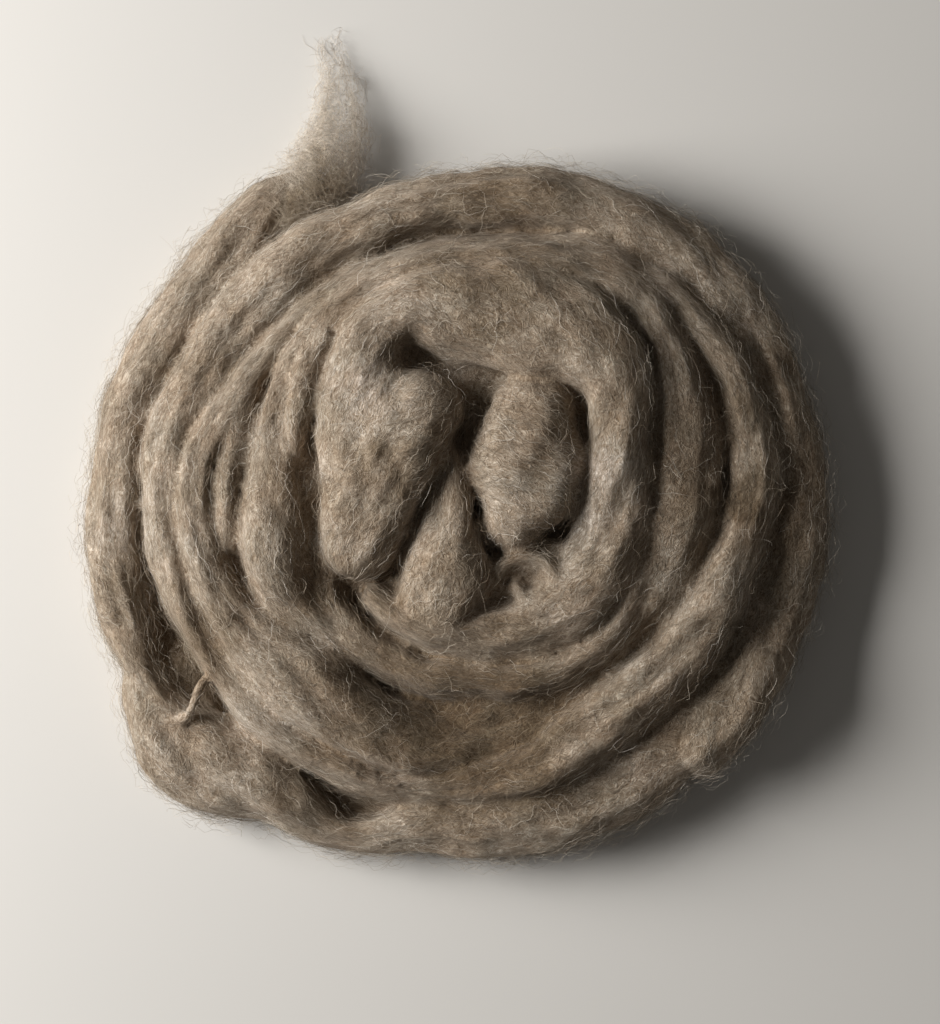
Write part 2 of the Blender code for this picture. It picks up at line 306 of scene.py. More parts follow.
def unevenness(place, turn, seed, crease):
    # how far the wool stands in or out of the plain oval, in millimetres
    ring = Vector((math.cos(turn), math.sin(turn), 0.0))
    result = 0.0
    for height, often, length, shift in surface["lumps"]:
        spot = Vector((ring.x * often, ring.y * often, place / length)) + Vector((seed, shift, 0.0))
        result += height * noise.noise(spot)
    for index, start in enumerate(surface["creasesAt"]):
        # each strand and each crease has its own place in the noise
        swing = noise.noise(Vector((place / surface["creaseSwing"], seed * 1.7, index * 5.0)))
        wander = surface["creaseWander"] * swing
        strength = noise.noise(Vector((place / surface["creaseLength"], seed * 2.3, index * 7.0 + 2.0)))
        strength += surface["creaseShare"]
        if strength > 0:
            off = (turn - start - wander) / surface["creaseWidth"]
            depth = surface["crease"] * crease * min(1.0, strength * surface["creaseOnset"])
            result -= depth * math.exp(-off * off)
    return result


def strandRings(rows, depth, seed, rough=1.0, cap=0.9, crease=1.0):
    # cap is the length of a rounded end over the strand's half width
    rows, places = evenRows(rows, surface["step"])
    path = rows[:, :2]
    heading = np.gradient(path, axis=0)
    heading /= np.linalg.norm(heading, axis=1)[:, None]
    around = math.pi * (rows[:, 2].max() + depth) / 2
    count = max(surface["fewestSides"], int(around / surface["sideLength"]))
    sections = [(place, forward, row[2] / 2, row[3], 1.0, along)
                for place, forward, row, along in zip(path, heading, rows, places)]
    for sign in (-1, 1):
        place, forward, half, top, _, along = sections[0 if sign < 0 else -1]
        ends = []
        for step in range(1, surface["capRings"] + 1):
            turn = math.pi / 2 * step / surface["capSpan"]
            reach = sign * half * cap * math.sin(turn)
            ends.append((place + forward * reach, forward, half, top, math.cos(turn), along + reach))
        sections = ends[::-1] + sections if sign < 0 else sections + ends
    rings = []
    for place, forward, half, top, scale, along in sections:
        height = max(min(depth, top + surface["buried"]), min(2 * half, depth))
        flat = 1 - (1 - surface["flatness"]) * min(1.0, half / surface["broadFrom"])
        ring = []
        for side in range(count):
            turn = 2 * math.pi * side / count
            out = unevenness(along, turn, seed, crease) * min(1.0, half / surface["evenBelow"]) * rough
            across = (half + out) * math.sin(turn) * scale
            rise = -math.copysign(abs(math.cos(turn)) ** flat, math.cos(turn))
            level = max(top - height / 2 + (height / 2 + out) * rise * scale, surface["floor"])
            ring.append((place[0] - forward[1] * across, place[1] + forward[0] * across, level))
        rings.append(np.array(ring))
    along = np.array([section[5] for section in sections])
    return rings, along - along[0]


def moundRings():
    rings = []
    for radius, height, dip in mound["rows"]:
        ring = []
        for side in range(mound["segments"]):
            turn = -2 * math.pi * side / mound["segments"]
            level = height
            if height > 1:
                off = ((math.degrees(turn) - mound["dipAt"] + 180) % 360 - 180) / mound["dipSpread"]
                spot = Vector((radius * math.cos(turn) / mound["lumpSize"],
                               radius * math.sin(turn) / mound["lumpSize"], 4.0))
                level = height - dip * math.exp(-off * off) + mound["lump"] * noise.noise(spot)
            reach = max(radius, mound["pole"])
            ring.append((reach * math.cos(turn), reach * math.sin(turn), level))
        rings.append(np.array(ring))
    return rings, np.linspace(0.0, mound["flowLength"], len(rings))


class Wool:
    # strands' skins as vertices and faces, with a flow map that runs along the fibres
    def __init__(self):
        self.corners = []
        self.faces = []
        self.flow = []
        self.stretch = []        # strand and stretch that each face belongs to

    def addTube(self, rings, places, band, lean):
        first = len(self.corners)
        count = len(rings[0])
        around = np.mean([np.linalg.norm(np.roll(ring, -1, axis=0) - ring, axis=1).sum() for ring in rings])
        turnBy = math.radians(lean)
        length = places[-1]

        def mapped(row, side):
            u = places[row] - length / 2
            v = (side / count - 0.5) * around
            return ((u * math.cos(turnBy) + v * math.sin(turnBy)) * mm + surface["bandStart"],
                    (v * math.cos(turnBy) - u * math.sin(turnBy)) * mm + surface["bandGap"] * (band + 0.5))

        def addFace(row, spots, middle=(), centre=()):
            self.faces.append([first + ring * count + side % count for ring, side in spots] + list(middle))
            self.flow.append([mapped(ring, side) for ring, side in spots] + list(centre))
            self.stretch.append((band, row // surface["stretchRows"]))

        for ring in rings:
            self.corners.extend(Vector(corner) * mm for corner in ring)
        for row in range(len(rings) - 1):
            for side in range(count):
                addFace(row, ((row, side), (row, side + 1), (row + 1, side + 1), (row + 1, side)))
        for row in (0, len(rings) - 1):
            middle = len(self.corners)
            self.corners.append(Vector(np.mean(rings[row], axis=0)) * mm)
            for side in range(count):
                spots = ((row, side), (row, side + 1))
                addFace(row, spots if row else spots[::-1], (middle,), (mapped(row, side + 0.5),))

    def makeMesh(self, name):
        mesh = bpy.data.meshes.new(name)
        mesh.from_pydata(self.corners, [], self.faces)
        mesh.update()
        return mesh


def writeFlow(mesh, flow):
    layer = mesh.uv_layers.new(name="flow")
    layer.data.foreach_set("uv", [number for face in flow for corner in face for number in corner])
    mesh.shade_smooth()


def applied(thing):
    # the object's mesh with its modifiers applied, and the object removed
    result = bpy.data.meshes.new_from_object(thing.evaluated_get(bpy.context.evaluated_depsgraph_get()))
    thing.modifiers.clear()
    bpy.data.objects.remove(thing, do_unlink=True)
    return result


def blended(mesh):
    # one skin round all the strands, softened where they press together
    thing = addObject("blend", mesh)
    remesh = thing.modifiers.new("remesh", "REMESH")
    remesh.mode = "VOXEL"
    remesh.voxel_size = surface["voxel"] * mm
    smooth = thing.modifiers.new("smooth", "SMOOTH")
    smooth.factor = 0.5
    smooth.iterations = surface["softening"]
    result = applied(thing)
    skin = bmesh.new()
    skin.from_mesh(result)
    left = set(skin.verts)
    groups = []
    while left:
        group = [left.pop()]
        for corner in group:
            # the group grows by this corner's neighbours until none is left
            near = {link.other_vert(corner) for link in corner.link_edges} & left
            left -= near
            group.extend(near)
        groups.append(group)
    groups.sort(key=len)
    # closed pockets inside the wool are dropped
    inner = [corner for group in groups[:-1] for corner in group]
    bmesh.ops.delete(skin, geom=inner, context="VERTS")
    for corner in skin.verts:
        corner.co.z = max(corner.co.z, surface["floor"] * mm)
    skin.to_mesh(result)
    skin.free()
    result.update()
    return result


def thinHidden(mesh):
    # fewer faces deep inside, where nothing shows
    markShown([mesh])
    values = np.empty(len(mesh.vertices))
    mesh.attributes["shown"].data.foreach_get("value", values)
    ends = np.empty(len(mesh.edges) * 2, dtype=int)
    mesh.edges.foreach_get("vertices", ends)
    ends = ends.reshape(-1, 2)
    shown = values > 0
    for _ in range(surface["shownMargin"]):
        touched = shown[ends].any(axis=1)
        shown[ends[touched]] = True
    visible = float(shown.mean())
    mesh.attributes.remove(mesh.attributes["shown"])
    thing = addObject("thin", mesh)
    hidden = thing.vertex_groups.new(name="hidden")
    hidden.add([int(index) for index in np.flatnonzero(~shown)], 1.0, "REPLACE")
    fewer = thing.modifiers.new("fewer", "DECIMATE")
    fewer.vertex_group = "hidden"
    fewer.vertex_group_factor = 1000.0       # high enough to leave the rest untouched
    fewer.ratio = visible + (1 - visible) * surface["hiddenKept"]
    result = applied(thing)
    print("    shown", round(visible, 2), "of", len(mesh.polygons), "faces, now", len(result.polygons))
    return result


def nearestFlow(skin, wool):
    # each face of the blended skin takes its flow map from the strand that it lies on
    every = BVHTree.FromPolygons(wool.corners, wool.faces)
    points = [vertex.co.copy() for vertex in skin.vertices]
    members = {}
    for index, key in enumerate(wool.stretch):
        members.setdefault(key, []).append(index)

    @cache
    def stretchOf(band, part):
        chosen = [face for step in (-1, 0, 1) for face in members.get((band, part + step), ())]
        used = sorted({corner for face in chosen for corner in wool.faces[face]})
        numbers = {corner: number for number, corner in enumerate(used)}
        faces = [[numbers[corner] for corner in wool.faces[face]] for face in chosen]
        return BVHTree.FromPolygons([wool.corners[corner] for corner in used], faces), chosen

    @cache
    def placeOn(key, index):
        tree, chosen = stretchOf(*key)
        near, _, number, _ = tree.find_nearest(points[index])
        face = chosen[number]
        corners = [wool.corners[corner] for corner in wool.faces[face]]
        shares = list(zip(interpolate.poly_3d_calc(corners, near), wool.flow[face]))
        return tuple(sum(share * place[axis] for share, place in shares) for axis in (0, 1))

    result = []
    for face in skin.polygons:
        key = wool.stretch[every.find_nearest(face.center)[2]]
        places = [placeOn(key, index) for index in face.vertices]
        if max(max(values) - min(values) for values in zip(*places)) > surface["flowTear"]:
            places = [places[0]] * len(places)
        result.append(places)
    return result


def raiseLocks(skin, flow):
    # fine locks of wool that run with the fibres
    flowAt = np.zeros((len(skin.vertices), 2))
    for face, places in zip(skin.polygons, flow):
        for index, place in zip(face.vertices, places):
            flowAt[index] = place
    normals = [vertex.normal.copy() for vertex in skin.vertices]
    for vertex, normal, (u, v) in zip(skin.vertices, normals, flowAt):
        if vertex.co.z <= surface["locksAbove"] * mm:
            continue
        relief = 0.0
        for length, width, shift, share in surface["locks"]:
            relief += share * noise.noise(Vector((u * 1000 / length, v * 1000 / width, shift)))
        vertex.co += normal * relief * surface["lockHeight"] * mm


def markShown(meshes):
    # how much of the sky each corner sees, from 0 deep inside the nest to 1 on an open crown
    corners, faces = [], []
    for mesh in meshes:
        start = len(corners)
        corners.extend(vertex.co.copy() for vertex in mesh.vertices)
        faces.extend([start + index for index in face.vertices] for face in mesh.polygons)
    tree = BVHTree.FromPolygons(corners, faces)
    sky = [Vector((0, 0, 1))]
    for lift in openSky["lifts"]:
        for step in range(openSky["around"]):
            turn = 2 * math.pi * (step + lift) / openSky["around"]
            sky.append(Vector((math.cos(turn), math.sin(turn), lift)).normalized())
    for mesh in meshes:
        values = []
        for vertex in mesh.vertices:
            start = vertex.co + vertex.normal * openSky["start"]
            free = sum(1 for ray in sky if tree.ray_cast(start, ray, openSky["reach"])[0] is None)
            values.append(free / len(sky))
        mesh.attributes.new("shown", "FLOAT", "POINT").data.foreach_set("value", values)


def layStrands():
    # the winding, then the shorter runs, then the mound that they rest on, each in its own band
    wool = Wool()
    rings = strandRings(windingRows(), winding["depth"], seed=1.0)
    wool.addTube(*rings, band=0, lean=winding["lean"])
    for number, run in enumerate(runs.values()):
        rings = strandRings(smoothRows(run["points"], steps=6), run["depth"], seed=3.0 + number,
                            crease=run.get("crease", 1.0))
        wool.addTube(*rings, band=1 + number, lean=run.get("lean", 0.0))
    wool.addTube(*moundRings(), band=len(runs) + 1, lean=mound["lean"])
    return wool


print("roving: laying the strands")
nest = layStrands()

print("roving: blending them into one skin")
nestMesh = thinHidden(blended(nest.makeMesh("strands")))
flow = nearestFlow(nestMesh, nest)
raiseLocks(nestMesh, flow)
writeFlow(nestMesh, flow)
print("    nest", len(nestMesh.polygons), "faces")


def makeLooseEnd(rows):
    tops = smoothRows(np.column_stack((rows, rows[:, 2] + looseEnd["lift"])), steps=6)
    wool = Wool()
    rings = strandRings(tops, looseEnd["depth"], seed=21.0, rough=looseEnd["rough"], cap=looseEnd["cap"])
    wool.addTube(*rings, band=13, lean=0.0)
    mesh = wool.makeMesh("looseEnd")
    writeFlow(mesh, wool.flow)
    mesh.update()
    # how far along each corner is from where the end starts to thin out to its tip
    start, finish = (Vector(looseEnd["points"][number][:2]) for number in (looseEnd["thinFrom"], -1))
    way = finish - start
    values = [min(1.0, max(0.0, (vertex.co.xy / mm - start).dot(way) / way.length_squared))
              for vertex in mesh.vertices]
    mesh.attributes.new("thin", "FLOAT", "POINT").data.foreach_set("value", values)
    return mesh


print("roving: shaping the loose end")
endRows = np.array(looseEnd["points"], dtype=float)
endRows[:, 2] *= np.array(looseEnd["slim"])
looseMesh = makeLooseEnd(endRows)
markShown([nestMesh, looseMesh])

# Fibres stand out of the skin. These are their trees' inputs and what each is when nothing sets it.
fibreInputs = {
    "Density": 200000.0, "Length": 7.0 * mm, "Length Spread": 0.45, "Thickness": 0.24 * mm,
    "Cross Angle": 0.6, "Wave": 0.8 * mm, "Wave Length": 4.0 * mm, "Lift": 0.5 * mm,
    "Lift Spread": 1.0 * mm, "Lift Bias": 2.5, "Rim": 0.0, "Segments": 5, "Seed": 1, "Material": None,
}

# What each lot of fibres is like, on the nest unless its skin is the loose end's. Lengths in
# millimetres, density per square centimetre.
fibres = {
    "lying": {"Density": 4.6, "Length": 7.5, "Thickness": 0.11, "Cross Angle": 0.5,
              "Wave": 1.2, "Wave Length": 3.5, "Seed": 3},
    "crossing": {"Density": 4.2, "Length": 7.0, "Thickness": 0.10, "Cross Angle": 0.9,
                 "Wave": 1.3, "Wave Length": 3.5, "Seed": 5},
    "fine": {"Density": 4.7, "Length": 8.5, "Thickness": 0.10, "Cross Angle": 0.7,
             "Wave": 1.5, "Lift Spread": 2.4, "Seed": 7},
    "rim": {"Density": 13.0, "Length": 9.0, "Thickness": 0.08, "Cross Angle": 1.1,
            "Wave": 1.8, "Lift Spread": 5.0, "Lift Bias": 1.3, "Rim": 1.0, "Segments": 6, "Seed": 13},
    "tail": {"skin": "loose", "Density": 104.0, "Length": 14.0, "Thickness": 0.078, "Cross Angle": 0.65,
             "Wave": 4.4, "Lift": 0.2, "Lift Spread": 9.0, "Lift Bias": 1.1, "Segments": 9, "Seed": 11},
}

# Longer hairs that lie free across the grooves.
bridges = {
    "stray": {"Density": 1.7, "Length": 15.0, "Thickness": 0.11, "Wave": 3.0,
              "Wave Length": 7.0, "Lift": 0.3, "Lift Spread": 3.0, "Segments": 11, "Seed": 21},
    "wisp": {"skin": "loose", "Density": 14.0, "Length": 26.0, "Thickness": 0.10, "Wave": 6.0,
             "Wave Length": 9.0, "Lift": 0.3, "Lift Spread": 5.0, "Segments": 14, "Seed": 23},
}

# Where fibres take root, how the loose end's thin out towards its tip, and which are dropped.
growth = {
    "rimFrom": (0.120, 0.132),      # metres from the middle over which the nest's outer side begins
    "rimSteep": (0.75, 0.35),       # upward part of the normal from none to all of the rim fibres
    "open": (0.05, 0.45),           # share of open sky from none to all of the fibres
    "tipFewer": 0.72,
    "tipShorter": 0.45,
    "tipLower": 0.55,
    "tableGap": 0.3 * mm,
    "bridgeGap": 0.35 * mm,
    "shortest": 1.5 * mm,
    "longest": 0.06,
    "anyTurn": 6.2832,              # a full turn in radians, for hairs that lie any way round
    "crossShare": 0.75,             # of the Cross Angle, for each of the two draws that make a fibre's turn
    "waveGain": 4.0,                # the noise strays by about a quarter, so this brings it up to the Wave
    "liftScale": 0.7,               # of the unevenness in a fibre's height, over that of its wave
    "radius": 0.58,                 # over the thickness, so that each of three sides is as wide as it
    "taper": 0.65,                  # thickness lost at both ends of a fibre
}


class Tree:
    # short ways to add and join nodes
    def __init__(self, tree):
        self.tree = tree

    def add(self, kind, inputs=None, **settings):
        node = self.tree.nodes.new(kind)
        for name, value in settings.items():
            setattr(node, name, value)
        for name, value in (inputs or {}).items():
            if isinstance(value, bpy.types.NodeSocket):
                self.tree.links.new(value, node.inputs[name])
            else:
                node.inputs[name].default_value = value
        return node

    def math(self, operation, *values):
        return self.add("ShaderNodeMath", dict(enumerate(values)), operation=operation).outputs[0]

    plus = partialmethod(math, "ADD")
    minus = partialmethod(math, "SUBTRACT")
    times = partialmethod(math, "MULTIPLY")

    def group(self, tree, *values):
        return self.add("ShaderNodeGroup", dict(enumerate(values)), node_tree=tree).outputs[0]

    def vector(self, operation, *values):
        node = self.add("ShaderNodeVectorMath", dict(enumerate(values)), operation=operation)
        return node.outputs["Value" if operation in ("DOT_PRODUCT", "LENGTH") else "Vector"]

    def scaled(self, vector, scale):
        return self.add("ShaderNodeVectorMath", {0: vector, "Scale": scale}, operation="SCALE").outputs[0]

    def joined(self, x, y, z=0.0):
        return self.add("ShaderNodeCombineXYZ", {0: x, 1: y, 2: z}).outputs[0]

    def split(self, vector):
        return self.add("ShaderNodeSeparateXYZ", {0: vector}).outputs

    def mapped(self, value, ends, results=(0.0, 1.0), kind="LINEAR"):
        return self.add("ShaderNodeMapRange", {
            "Value": value, "From Min": ends[0], "From Max": ends[1], "To Min": results[0],
            "To Max": results[1]}, interpolation_type=kind).outputs[0]

    def clouds(self, where, scale, detail, roughness=0.5, **settings):
        return self.add("ShaderNodeTexNoise", {"Vector": where, "Scale": scale, "Detail": detail,
                                               "Roughness": roughness}, **settings)

    def ramp(self, value, tones):
        node = self.add("ShaderNodeValToRGB", {0: value})
        steps = node.color_ramp.elements
        steps[0].color, steps[1].color = tones[0][1], tones[-1][1]
        for place, colour in tones[1:-1]:
            steps.new(place).color = colour
        return node.outputs[0]


class FibreTree(Tree):
    # what every tree of fibres has: named inputs, roots on the skin, and hairs with three sides
    def __init__(self, name):
        tree = bpy.data.node_groups.new(name, "GeometryNodeTree")
        super().__init__(tree)
        tree.interface.new_socket("Geometry", in_out="INPUT", socket_type="NodeSocketGeometry")
        kinds = {float: "Float", int: "Int", type(None): "Material"}
        for label, value in fibreInputs.items():
            kind = "NodeSocket" + kinds[type(value)]
            socket = tree.interface.new_socket(label, in_out="INPUT", socket_type=kind)
            if value is not None:
                socket.default_value = value
        tree.interface.new_socket("Geometry", in_out="OUTPUT", socket_type="NodeSocketGeometry")
        self.given = tree.nodes.new("NodeGroupInput").outputs
        self.skin = self.given["Geometry"]
        self.part = self.add("GeometryNodeSplineParameter").outputs["Factor"]

    def chance(self, low, high, seed):
        seeds = self.plus(self.given["Seed"], float(seed))
        return self.add("FunctionNodeRandomValue", {2: low, 3: high, "Seed": seeds},
                        data_type="FLOAT").outputs[1]

    def shape(self, kind, inputs=None, **settings):
        # the first output of a Geometry node
        return self.add("GeometryNode" + kind, inputs, **settings).outputs[0]

    def keep(self, points, name, value, kind="FLOAT"):
        values = {"Geometry": points, "Name": name, "Value": value}
        return self.shape("StoreNamedAttribute", values, data_type=kind, domain="POINT")

    def kept(self, name, kind="FLOAT"):
        node = self.add("GeometryNodeInputNamedAttribute", {"Name": name}, data_type=kind)
        return node.outputs["Attribute"]

    def towardsTip(self, lost):
        # one at the loose end's root and on the nest, less towards the tip
        return self.minus(1.0, self.times(self.kept("thin"), lost))

    def roots(self):
        # more of them where the skin is open to the sky; with Rim at one, only on the nest's outer side
        given = self.given
        position = self.shape("InputPosition")
        fromMiddle = self.vector("LENGTH", self.vector("MULTIPLY", position, (1.0, 1.0, 0.0)))
        outer = self.mapped(fromMiddle, growth["rimFrom"])
        steep = self.mapped(self.split(self.shape("InputNormal"))[2], growth["rimSteep"])
        away = self.times(given["Rim"], self.minus(1.0, self.times(outer, steep)))
        bare = self.mapped(self.kept("shown"), growth["open"])
        density = self.times(self.times(given["Density"], bare),
                             self.minus(self.towardsTip(growth["tipFewer"]), away))
        scatter = self.add("GeometryNodeDistributePointsOnFaces", {
            "Mesh": self.skin, "Seed": given["Seed"], "Density": density}, distribute_method="RANDOM")
        points = self.keep(scatter.outputs["Points"], "up", scatter.outputs["Normal"], "FLOAT_VECTOR")
        points = self.keep(points, "tone", self.chance(0.0, 1.0, 11))
        points = self.keep(points, "phase", self.chance(0.0, 1000.0, 14))
        scale = self.plus(1.0, self.times(self.chance(-1.0, 1.0, 15), given["Length Spread"]))
        scale = self.times(scale, self.towardsTip(growth["tipShorter"]))
        points = self.keep(points, "long", self.times(given["Length"], scale))
        rise = self.math("POWER", self.chance(0.0, 1.0, 16), given["Lift Bias"])
        rise = self.plus(given["Lift"], self.times(given["Lift Spread"], rise))
        return self.keep(points, "rise", self.times(rise, self.towardsTip(growth["tipLower"])))

    def lines(self, points):
        line = self.shape("CurvePrimitiveLine", {"Start": (0, 0, 0), "End": (0, 0, 0.001)}, mode="POINTS")
        count = self.plus(self.given["Segments"], 1.0)
        line = self.shape("ResampleCurve", {"Curve": line, "Count": count})
        placed = self.shape("InstanceOnPoints", {"Points": points, "Instance": line})
        return self.shape("RealizeInstances", {"Geometry": placed})

    def along(self):
        return self.times(self.minus(self.part, 0.5), self.kept("long"))

    def wavePlace(self):
        waves = self.math("DIVIDE", self.along(), self.given["Wave Length"])
        return self.joined(waves, self.kept("phase"), 0.5)

    def finish(self, lines, position, lost=None):
        # sets the lines in place, above the table, and gives them three sides, finer at both tips
        x, y, z = self.split(position)
        above = self.joined(x, y, self.math("MAXIMUM", z, growth["tableGap"]))
        lines = self.shape("SetPosition", {"Geometry": lines, "Position": above})
        if lost is not None:
            lines = self.shape("DeleteGeometry", {"Geometry": lines, "Selection": lost}, domain="POINT")
        reach = self.add("GeometryNodeSplineLength").outputs["Length"]
        odd = self.math("MAXIMUM", self.math("LESS_THAN", reach, growth["shortest"]),
                        self.math("GREATER_THAN", reach, growth["longest"]))
        lines = self.shape("DeleteGeometry", {"Geometry": lines, "Selection": odd}, domain="CURVE")
        fromCentre = self.math("ABSOLUTE", self.minus(self.times(self.part, 2.0), 1.0))
        taper = self.minus(1.0, self.times(self.math("POWER", fromCentre, 4.0), growth["taper"]))
        radius = self.times(self.given["Thickness"], growth["radius"])
        profile = self.shape("CurvePrimitiveCircle", {"Resolution": 3, "Radius": radius})
        hairs = self.shape("CurveToMesh", {"Curve": lines, "Profile Curve": profile, "Scale": taper,
                                           "Fill Caps": True})
        hairs = self.shape("RealizeInstances", {"Geometry": hairs})
        hairs = self.shape("SetMaterial", {"Geometry": hairs, "Material": self.given["Material"]})
        self.add("NodeGroupOutput", {0: hairs})
        return self.tree


def makeLyingTree():
    # fibres that follow the flow map over one strand
    t = FibreTree("lyingFibres")
    points = t.keep(t.roots(), "place", t.kept("flow", "FLOAT_VECTOR"), "FLOAT_VECTOR")
    bend = t.plus(t.chance(-1.0, 1.0, 12), t.chance(-1.0, 1.0, 13))
    points = t.keep(points, "turnBy", t.times(bend, t.times(t.given["Cross Angle"], growth["crossShare"])))
    lines = t.lines(points)
    along, wavePlace = t.along(), t.wavePlace()
    swing = t.clouds(wavePlace, 1.0, 1.0).outputs[0]
    side = t.times(t.minus(swing, 0.5), t.times(t.given["Wave"], growth["waveGain"]))
    cosine, sine = t.math("COSINE", t.kept("turnBy")), t.math("SINE", t.kept("turnBy"))
    offset = t.joined(t.minus(t.times(along, cosine), t.times(side, sine)),
                      t.plus(t.times(along, sine), t.times(side, cosine)))
    target = t.vector("ADD", t.kept("place", "FLOAT_VECTOR"), offset)

    def onSkin(value):
        return t.add("GeometryNodeSampleUVSurface", {
            "Mesh": t.skin, "Value": value, "Source UV Map": t.kept("flow", "FLOAT_VECTOR"),
            "Sample UV": target}, data_type="FLOAT_VECTOR")

    spot, up = onSkin(t.shape("InputPosition")), onSkin(t.shape("InputNormal"))
    bump = t.clouds(wavePlace, growth["liftScale"], 0.0).outputs[0]
    height = t.times(t.kept("rise"), t.times(bump, 2.0))
    lifted = t.vector("ADD", spot.outputs[0], t.scaled(up.outputs[0], height))
    lost = t.add("FunctionNodeBooleanMath", {0: spot.outputs["Is Valid"]}, operation="NOT").outputs[0]
    return t.finish(lines, lifted, lost)


def makeBridgingTree():
    # hairs that go straight over the grooves, and are only kept out of the skin
    t = FibreTree("bridgingHairs")
    points = t.keep(t.roots(), "heading", t.chance(0.0, growth["anyTurn"], 12))
    points = t.keep(points, "root", t.shape("InputPosition"), "FLOAT_VECTOR")
    lines = t.lines(points)
    up, heading = t.kept("up", "FLOAT_VECTOR"), t.kept("heading")
    flat = t.joined(t.math("COSINE", heading), t.math("SINE", heading))
    tangent = t.vector("SUBTRACT", flat, t.scaled(up, t.vector("DOT_PRODUCT", flat, up)))
    swing = t.clouds(t.wavePlace(), 1.0, 1.0).outputs["Color"]
    reach = t.times(t.given["Wave"], growth["waveGain"])
    wave = t.scaled(t.vector("SUBTRACT", swing, (0.5, 0.5, 0.5)), reach)
    spot = t.vector("ADD", t.kept("root", "FLOAT_VECTOR"),
                    t.scaled(t.vector("NORMALIZE", tangent), t.along()))
    spot = t.vector("ADD", t.vector("ADD", spot, wave), t.scaled(up, t.kept("rise")))

    def nearest(value):
        return t.shape("SampleNearestSurface", {"Mesh": t.skin, "Value": value, "Sample Position": spot},
                       data_type="FLOAT_VECTOR")

    near, out = nearest(t.shape("InputPosition")), nearest(t.shape("InputNormal"))
    depth = t.vector("DOT_PRODUCT", t.vector("SUBTRACT", spot, near), out)
    push = t.math("MAXIMUM", t.minus(growth["bridgeGap"], depth), 0.0)
    return t.finish(lines, t.vector("ADD", spot, t.scaled(out, push)))


def growFibres(name, mesh, tree, values, material):
    base = addObject(name, mesh)
    grow = base.modifiers.new("fibres", "NODES")
    grow.node_group = tree
    ids = {item.name: item.identifier for item in tree.interface.items_tree if item.in_out == "INPUT"}
    units = {"Density": 10000.0, "Length": mm, "Thickness": mm, "Wave": mm, "Wave Length": mm, "Lift": mm,
             "Lift Spread": mm}
    for key, value in values.items():
        if key != "skin":
            grow[ids[key]] = value * units.get(key, 1)
    grow[ids["Material"]] = material
    result = applied(base)
    used = ("place", "turnBy", "phase", "long", "rise", "flow", "up", "heading", "root", "shown", "thin")
    for attribute in used:
        if attribute in result.attributes:
            result.attributes.remove(result.attributes[attribute])
    result.name = name
    result.shade_smooth()
    return addObject(name, result)


# Painted shade and painted light on the wool, with some darker patches of the wool itself: x, y and radius in
# millimetres, and how much darker (below nought, lighter).
paintedShadeAndLight = (
    (20, 62, 26, 0.08), (12, -82, 40, 0.6), (52, -87, 20, -0.04), (-28, -70, 26, 0.34),
    (120, 20, 50, 0.14), (96, -70, 30, 0.1), (14, 106, 34, 0.35), (-106, -55, 19, 0.4),
    (-50, -112, 20, 0.25), (-6, -26, 18, 0.16), (-31, 42, 18, -0.22), (-112, 4, 26, -0.07),
    (60, 8, 20, -0.34), (-42, 4, 14, 0.16), (84, 8, 16, 0.17), (-45, -30, 18, 0.34), (-29, -39, 12, 0.3),
    (6, -47, 15, -0.1), (20, -30, 12, -0.12), (-17, 20, 11, 0.28), (112, 6, 15, 0.46), (27, 18, 16, -0.08))
# The same for the loose end: painted shade towards its root, which also brings it down to the nest's colour
# there.
loosePaintedShade = ((-52, 123, 15, 0.36), (-72, 110, 22, 0.34), (-95, 92, 20, 0.34))
paintedShadeEdge = {
    "from": 0.4,            # of the radius, where the darkness starts to fade
    "to": 1.3,
    "ragged": 40.0,         # how far the edge wanders, in millimetres
    "raggedScale": 0.07,
}
streak = {
    "shift": 1.7,           # sets one layer's pattern beside another's
    "bend": 5.0,            # how far a streak swings sideways, in millimetres
    "bendScale": 0.22,
    "fineness": 0.65,
    "contrast": (0.3, 0.7),
}
# Tones and tints: how far along their range each one is, and its colour.
wool = {
    "tones": ((0.0, (0.160, 0.114, 0.071, 1.0)), (0.5, (0.315, 0.249, 0.185, 1.0)),
              (1.0, (0.512, 0.441, 0.356, 1.0))),
    "contrast": (0.25, 0.75),
    "tints": ((0.0, (0.985, 1.0, 1.005, 1.0)), (1.0, (1.03, 0.985, 0.95, 1.0))),    # grey to red
    "tintScale": 55.0,
    "tintEdge": (0.35, 0.65),
    "patch": 0.27,          # how much lighter or darker broad patches are
    "patchScale": 42.0,
    "patchFineness": 0.62,
    "patchEdge": (0.3, 0.7),
    "shader": {"Roughness": 0.92, "Specular IOR Level": 0.2, "Sheen Weight": 0.3,
               "Sheen Tint": (0.91, 0.80, 0.68, 1.0)},
    "bump": 0.0003,
    "layerShift": 40.0,
    # length and width of the streaks in each layer in millimetres, the turn in radians and its weight
    "layers": ((4.4, 0.44, 0.0, 0.27), (3.4, 0.42, 0.6, 0.23), (3.4, 0.42, -0.55, 0.23),
               (7.0, 1.5, 0.15, 0.15), (1.2, 0.60, 0.3, 0.12)),
}
# the loose end's wool in lighter tones: painted light on its thin wisps
loose = dict(wool, tones=((0.0, (0.40, 0.325, 0.245, 1.0)), (0.5, (0.66, 0.57, 0.46, 1.0)),
                          (1.0, (0.85, 0.77, 0.65, 1.0))),
             # streaks below this are open: at the root, how much more at the tip, and to full cover
             open=(0.24, 0.62, 0.25))
strand = {
    # for fibres, how far along is the share of them that are darker
    "tones": ((0.0, (0.150, 0.107, 0.067, 1.0)), (0.4, (0.285, 0.226, 0.165, 1.0)),
              (0.83, (0.460, 0.395, 0.313, 1.0)), (1.0, (0.820, 0.755, 0.665, 1.0))),
    "shader": {"Roughness": 0.75, "Specular IOR Level": 0.3, "Sheen Weight": 0.2,
               "Sheen Tint": (0.91, 0.80, 0.68, 1.0)},
    "paintedShading": 0.45,        # how far the fibres take part in the painted shade and light
}
